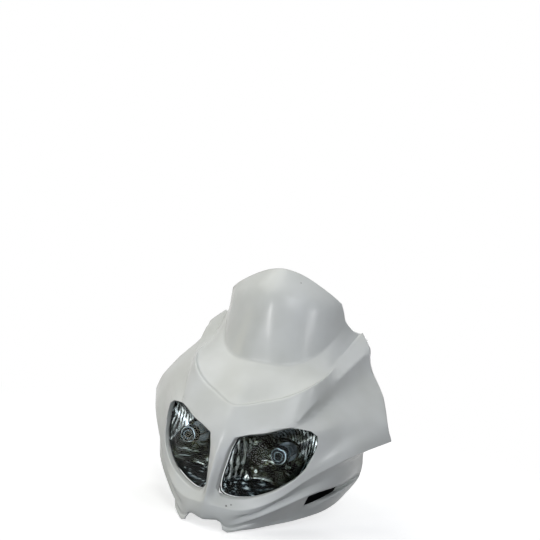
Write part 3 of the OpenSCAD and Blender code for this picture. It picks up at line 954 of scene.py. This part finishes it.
@dataclass
class LampUnit:
    """One lamp: lens, bead, reflector, housing, bulb, cap and boot.

    Attributes:
        finishes: the materials.
        side: the half of the cowl.
        seal_levels: levels of the subdivision of the bead.
        cover_levels: levels of the subdivision of the lens and the housing.
        reflector_levels: levels of the subdivision of the reflector.
        bowl_mm: radius of the round bowl, beyond which the flutes start.
        skirt_mm: width over which the flutes reach their depth.
        flute_mm: width of a flute.
        flute_depth_mm: depth of a flute.
        flute_sharp: angle in degrees from which an edge of the reflector is shaded sharp.
        rim_facing: share of Y in a face's direction below which it is the lens's edge wall.
        terminal_mm: distance from the bulb's rear end to the front of its collar.
        glass_mm: radius of the bulb's glass.
        glass_wall_mm: thickness of the glass.
        glass_long_mm: length of the glass up to its round tip.
        glass_bore_mm: length of its bore up to where it narrows.
        glass_foot_mm: gap between the glass and the front of the collar.
        collar: outline of the collar and the barrel, from the front of the collar.
        blade_mm: size of a terminal blade.
        blade_out_mm: distance of a blade from the axis.
        blade_back_mm: distance of a blade's middle behind the front of the collar.
        cap_mm: length of the cap.
        cup: outline of the cap, from its open end.
        leg_mm: radius of a leg.
        leg_out_mm: distance of a leg from the axis.
        leg_hold_mm: how far a leg reaches into the cap.
        boot_round_mm: width of the rounding of the boot's edges.
        seat: front of the collar on the lamp's axis.
    """

    finishes: Finishes
    side: Side
    seal_levels: int = 1
    cover_levels: int = 2
    reflector_levels: int = 3
    bowl_mm: float = 44.0
    skirt_mm: float = 3.0
    flute_mm: float = 5.0
    flute_depth_mm: float = 1.4
    flute_sharp: float = 30.0
    rim_facing: float = 0.22
    terminal_mm: float = 27.0
    glass_mm: float = 7.5
    glass_wall_mm: float = 0.8
    glass_long_mm: float = 34.0
    glass_bore_mm: float = 33.0
    glass_foot_mm: float = 0.5
    collar: Outline = (
        (0.0, -17.5), (10.2, -17.5), (11.0, -16.8), (11.0, -4.0), (11.6, -3.0), (19.2, -3.0),
        (20.0, -2.4), (20.0, -0.6), (19.2, 0.0), (9.0, 0.0), (8.2, 1.4), (0.0, 1.4))
    blade_mm: tuple[float, float, float] = (6.0, 10.0, 0.8)
    blade_out_mm: float = 6.4
    blade_back_mm: float = 22.0
    cap_mm: float = 14.0
    cup: Outline = (
        (14.0, 0.0), (13.8, 1.5), (12.4, 12.2), (12.0, 13.4), (11.0, 14.0), (9.6, 14.0),
        (9.1, 13.1), (7.5, 13.1), (7.0, 13.9), (5.6, 13.9), (5.1, 13.0), (0.0, 13.0),
        (0.0, 12.2), (11.3, 12.2), (12.9, 0.0))
    leg_mm: float = 0.9
    leg_out_mm: float = 12.2
    leg_hold_mm: float = 2.0
    boot_round_mm: float = 0.6
    seat: Vector = field(init=False)

    def __post_init__(self) -> None:
        """Find the seat of the bulb collar from the frame."""
        low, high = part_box(self.node("bulb"))
        self.seat = Vector(((low[0] + high[0]) / 2, high[1] - self.terminal_mm * MM,
                            (low[2] + high[2]) / 2))

    def node(self, word: str) -> str:
        """Return the name of one of this lamp's nodes."""
        return f"{word}_{self.side.word}"

    def build(self) -> None:
        """Build every piece of the lamp."""
        self.lens()
        finish_object(self.smoothed("seal", self.seal_levels), self.node("seal_piece"),
                      self.finishes.bead, (self.node("seal"),))
        self.housing()
        self.reflector()
        self.bulb()
        self.cap()
        finish_object(rounded_copy(self.node("boot"), self.boot_round_mm),
                      self.node("boot_piece"), self.finishes.rubber, (self.node("boot"),))

    def smoothed(self, word: str, levels: int) -> bmesh.types.BMesh:
        """Return one node's mesh, smoothed.

        Args:
            word: first word of the node's name.
            levels: levels of the subdivision.

        Returns:
            The smoothed mesh.
        """
        return subdivided(merged_copy(self.node(word)), levels)

    def lens(self) -> None:
        """Build the lens, whose edge wall is dark where the sealant wets it."""
        bm = self.smoothed("lens", self.cover_levels)
        for face in bm.faces:
            face.material_index = int(abs(face.normal.y) < self.rim_facing)
        piece = finish_object(bm, self.node("lens_piece"), self.finishes.lens,
                              (self.node("lens"),))
        piece.data.materials.append(self.finishes.bead)

    def housing(self) -> None:
        """Build the housing, polished on the inside, where its colour carries painted streaks
        of reflection.
        """
        bm = self.smoothed("housing", self.cover_levels)
        low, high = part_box(self.node("housing"))
        middle = (Vector(low) + Vector(high)) / 2
        for face in bm.faces:
            inwards = middle - face.calc_center_median()
            inwards.y = 0.0
            face.material_index = int(face.normal.dot(inwards) > 0.0)
        piece = finish_object(bm, self.node("housing_piece"), self.finishes.housing,
                              (self.node("housing"),))
        piece.data.materials.append(self.finishes.well)

    def reflector(self) -> None:
        """Build the reflector: a smooth round bowl with a fluted skirt out to the lens."""
        bm = self.smoothed("reflector", self.reflector_levels)
        for vert in bm.verts:
            across = (vert.co.x - self.seat.x) / MM
            radius = math.hypot(across, (vert.co.z - self.seat.z) / MM)
            skirt = min(max((radius - self.bowl_mm) / self.skirt_mm, 0.0), 1.0)
            wave = abs((across / self.flute_mm) % 1.0 - 0.5) * 2.0
            vert.co.y += skirt * wave * self.flute_depth_mm * MM
        finish_object(bm, self.node("reflector_piece"), self.finishes.reflector,
                      (self.node("reflector"),), self.flute_sharp)

    def bulb(self) -> None:
        """Build the glass envelope, and the collar, barrel and terminals behind it."""
        glass = bmesh.new()
        tip = [(self.glass_mm * math.cos(a), self.glass_long_mm + self.glass_mm * math.sin(a))
               for a in (math.radians(15 * k) for k in range(6))]
        top = self.glass_long_mm + self.glass_mm
        bore = self.glass_mm - self.glass_wall_mm
        add_revolved(glass, ((self.glass_mm, self.glass_foot_mm), *tip, (0.0, top),
                             (0.0, top - self.glass_wall_mm), (bore, self.glass_bore_mm),
                             (bore, self.glass_foot_mm)), self.seat, steps=40)
        finish_object(glass, self.node("bulb_glass"), self.finishes.quartz,
                      (self.node("bulb"),))
        base = bmesh.new()
        add_revolved(base, self.collar, self.seat)
        for k in range(3):
            turn = math.radians(90 * k)
            out = Matrix.Rotation(turn, 3, "Y") @ Vector((0.0, 0.0, self.blade_out_mm))
            add_blade(base, self.seat + (out + Vector((0.0, self.blade_back_mm, 0.0))) * MM,
                      self.blade_mm, turn)
        finish_object(base, self.node("bulb_base"), self.finishes.collar,
                      (self.node("bulb"),), HARD_EDGE)

    def cap(self) -> None:
        """Build the cap in front of the bulb, with pressed rings, and its two legs."""
        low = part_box(self.node("bulb_shield"))[0]
        foot = Vector((self.seat.x, low[1] + self.cap_mm * MM, self.seat.z))
        bm = bmesh.new()
        add_revolved(bm, self.cup, foot)
        reach = (self.seat.y - foot.y) / MM + self.leg_hold_mm
        leg = ((0.0, 0.0), (self.leg_mm, 0.0), (self.leg_mm, reach), (0.0, reach))
        for offset in (-self.leg_out_mm, self.leg_out_mm):
            add_revolved(bm, leg, self.seat + Vector((offset, 0.0, 0.0)) * MM,
                         steps=16)
        finish_object(bm, self.node("cap_piece"), self.finishes.bright,
                      (self.node("bulb_shield"),), HARD_EDGE)


@dataclass
class EarMount:
    """Rubber grommet and steel sleeve in one ear.

    Attributes:
        finishes: the materials.
        side: the half of the cowl.
        grommet_round_mm: width of the rounding of the grommet's edges.
        sleeve_round_mm: width of the rounding of the sleeve's edges.
    """

    finishes: Finishes
    side: Side
    grommet_round_mm: float = 0.5
    sleeve_round_mm: float = 0.2

    def build(self) -> None:
        """Round and dress the grommet and the sleeve."""
        for word, round_mm, material, slot in (
                ("ear_grommet", self.grommet_round_mm, self.finishes.rubber, "rubber"),
                ("ear_sleeve", self.sleeve_round_mm, self.finishes.zinc, "steel")):
            node = f"{word}_{self.side.word}"
            finish_object(rounded_copy(node, round_mm), f"{node}_piece", material, (node,),
                          HARD_EDGE)


@dataclass(frozen=True)
class SoftLight:
    """A rectangular light that faces the cowl.

    Attributes:
        name: name of the light.
        place: place in metres.
        size: width and height in metres.
        power: power in watts.
        colour: hex colour of the light.
    """

    name: str
    place: tuple[float, float, float]
    size: tuple[float, float]
    power: float
    colour: str = "#ffffff"

    def build(self) -> None:
        """Add the light and turn it to the middle of the cowl."""
        light = bpy.data.lights.new(self.name, "AREA")
        light.color = linear(self.colour)[:3]
        light.shape = "RECTANGLE"
        light.size, light.size_y = self.size
        light.energy = self.power
        lamp = bpy.data.objects.new(self.name, light)
        lamp.location = self.place
        middle = (CAD_BOX[0] + CAD_BOX[1]) / 2
        lamp.rotation_euler = (middle - lamp.location).to_track_quat("-Z", "Y").to_euler()
        bpy.context.scene.collection.objects.link(lamp)


@dataclass
class Studio:
    """Pale floor, soft lights and the camera.

    Attributes:
        lens_mm: focal length of the camera.
        sensor_mm: width of the camera's sensor.
        shift: upward shift of the frame.
        azimuth: angle of the camera round the cowl, in degrees from the front.
        elevation: angle of the camera above the horizon, in degrees.
        roll: angle in degrees by which the camera is turned about its view.
        away_m: distance from the camera to the point that it looks at.
        near_m: nearest distance that the camera sees.
        aim: the point that the camera looks at.
        pale: hex colour of the floor.
        dim: hex colour of the floor for the light that it throws on the cowl.
        floor_m: half of the floor's width.
        gap_m: gap between the cowl and the floor.
        glow: strength of the light that lifts the floor to white outside the shadow.
        fade_m: distances over which the floor turns plain white.
        sky: hex colour of the world's light on the cowl.
        level: strength of that light.
        lights: the lights.
    """

    lens_mm: float = 42.33
    sensor_mm: float = 36.0
    shift: float = 0.1
    azimuth: float = 18.975
    elevation: float = 1.362
    roll: float = 9.488
    away_m: float = 0.9
    near_m: float = 0.05
    aim: Vector = field(default_factory=lambda: mm_point(40.2, -243.0, 54.6))
    pale: str = "#e4e4e4"
    dim: str = "#3a3a3a"
    floor_m: float = 6.0
    gap_m: float = 0.0005
    glow: float = 0.5
    fade_m: tuple[float, float] = (0.35, 0.9)
    sky: str = "#e9f1ff"
    level: float = 0.15
    # The strip light gives the upright streak on the screen. The edge light gives the streak
    # to its right, a short one beside the right lamp and a few glints in that lamp.
    lights: tuple[SoftLight, ...] = (
        SoftLight("top_light", (-0.6, -0.35, 1.4), (1.3, 1.1), 9.6, "#fffef6"),
        SoftLight("key_light", (0.6, -1.15, 0.95), (0.6, 0.6), 4.0, "#fafcff"),
        SoftLight("front_light", (0.25, -1.5, -0.05), (1.6, 0.3), 3.6, "#eaf1ff"),
        SoftLight("side_light", (-1.3, -0.75, 0.1), (0.6, 0.6), 1.5, "#fff3cc"),
        SoftLight("strip_light", (-0.42, -1.55, 0.48), (0.03, 0.34), 3.6),
        SoftLight("edge_light", (1.28, -0.66, 0.5), (0.16, 0.16), 1.7),
        SoftLight("rear_light", (0.1, 1.5, 0.5), (1.4, 1.0), 15.0))

    def build(self) -> None:
        """Make the world, the floor, the lights and the camera."""
        bpy.context.scene.view_settings.view_transform = "Standard"
        self.world()
        self.floor()
        for light in self.lights:
            light.build()
        self.camera()

    @staticmethod
    def seen(tree: bpy.types.NodeTree) -> bpy.types.NodeSocket:
        """Return 1 for rays that show the background, and 0 for rays that light things.

        Args:
            tree: node tree to add to.

        Returns:
            The value.
        """
        rays = add_node(tree, "ShaderNodeLightPath")
        first = add_node(tree, "ShaderNodeMath", {"operation": "MAXIMUM"},
                         {0: rays.outputs["Is Camera Ray"], 1: rays.outputs["Is Glossy Ray"]})
        both = add_node(tree, "ShaderNodeMath", {"operation": "MAXIMUM"},
                        {0: first.outputs[0], 1: rays.outputs["Is Transmission Ray"]})
        return both.outputs[0]

    def world(self) -> None:
        """Make a white background that lights the cowl at a plain level."""
        world = bpy.data.worlds.new("studio")
        bpy.context.scene.world = world
        world.use_nodes = True
        tree = world.node_tree
        seen = self.seen(tree)
        level = add_node(tree, "ShaderNodeMapRange", {"To Min": self.level, "To Max": 1.0},
                         {"Value": seen})
        background = tree.nodes["Background"]
        tint = add_node(tree, "ShaderNodeMix",
                        {"data_type": "RGBA", 6: linear(self.sky), 7: (1, 1, 1, 1)},
                        {0: seen})
        tree.links.new(tint.outputs[2], background.inputs["Color"])
        tree.links.new(level.outputs[0], background.inputs["Strength"])

    def floor(self) -> None:
        """Make the pale floor under the cowl, which keeps its shadow."""
        bm = bmesh.new()
        bmesh.ops.create_grid(bm, x_segments=1, y_segments=1, size=self.floor_m)
        bmesh.ops.translate(bm, verts=bm.verts, vec=(0, 0, CAD_BOX[0].z - self.gap_m))
        mesh = bpy.data.meshes.new("studio_floor")
        bm.to_mesh(mesh)
        bm.free()
        material = bpy.data.materials.new("pale_floor")
        material.use_nodes = True
        tree = material.node_tree
        tree.nodes.remove(tree.nodes["Principled BSDF"])
        lit = add_node(tree, "ShaderNodeBsdfDiffuse", {"Color": linear(self.pale)})
        glow = add_node(tree, "ShaderNodeEmission",
                        {"Color": (1, 1, 1, 1), "Strength": self.glow})
        near = add_node(tree, "ShaderNodeAddShader", links={0: lit.outputs[0],
                                                            1: glow.outputs[0]})
        white = add_node(tree, "ShaderNodeEmission", {"Color": (1, 1, 1, 1)})
        reach = add_node(tree, "ShaderNodeVectorMath", {"operation": "LENGTH"},
                         {0: place_on(tree, (1.0, 1.0, 0.0))})
        far = add_node(tree, "ShaderNodeMapRange",
                       {"From Min": self.fade_m[0], "From Max": self.fade_m[1]},
                       {"Value": reach.outputs["Value"]})
        pale = add_node(tree, "ShaderNodeMixShader",
                        links={0: far.outputs[0], 1: near.outputs[0], 2: white.outputs[0]})
        dark = add_node(tree, "ShaderNodeBsdfDiffuse", {"Color": linear(self.dim)})
        mix = add_node(tree, "ShaderNodeMixShader",
                       links={0: self.seen(tree), 1: dark.outputs[0], 2: pale.outputs[0]})
        tree.links.new(mix.outputs[0], tree.nodes["Material Output"].inputs["Surface"])
        mesh.materials.append(material)
        floor = bpy.data.objects.new("studio_floor", mesh)
        bpy.context.scene.collection.objects.link(floor)

    def camera(self) -> None:
        """Place the camera at the photograph's viewing angle."""
        turn, lift = math.radians(self.azimuth), math.radians(self.elevation)
        back = Vector((math.sin(turn) * math.cos(lift), -math.cos(turn) * math.cos(lift),
                       math.sin(lift)))
        data = bpy.data.cameras.new("camera")
        data.lens = self.lens_mm
        data.sensor_width = self.sensor_mm
        data.shift_y = self.shift
        data.clip_start = self.near_m
        camera = bpy.data.objects.new("camera", data)
        level = Euler((math.radians(90 - self.elevation), 0, turn)).to_matrix().to_4x4()
        tilt = Matrix.Rotation(math.radians(self.roll), 4, "Z")
        camera.matrix_world = Matrix.Translation(self.aim + back * self.away_m) @ level @ tilt
        bpy.context.scene.collection.objects.link(camera)
        bpy.context.scene.camera = camera


def main() -> None:
    """Build the cowl, its lamps, its mounting hardware and the studio."""
    logging.basicConfig(level=logging.INFO, format="%(name)s %(message)s")
    finishes = Finishes()
    CowlShell(finishes).build()
    for side in Side:
        VentDuct(finishes, side).build()
        LampUnit(finishes, side).build()
        EarMount(finishes, side).build()
    Studio().build()


if __name__ == "__main__":
    main()
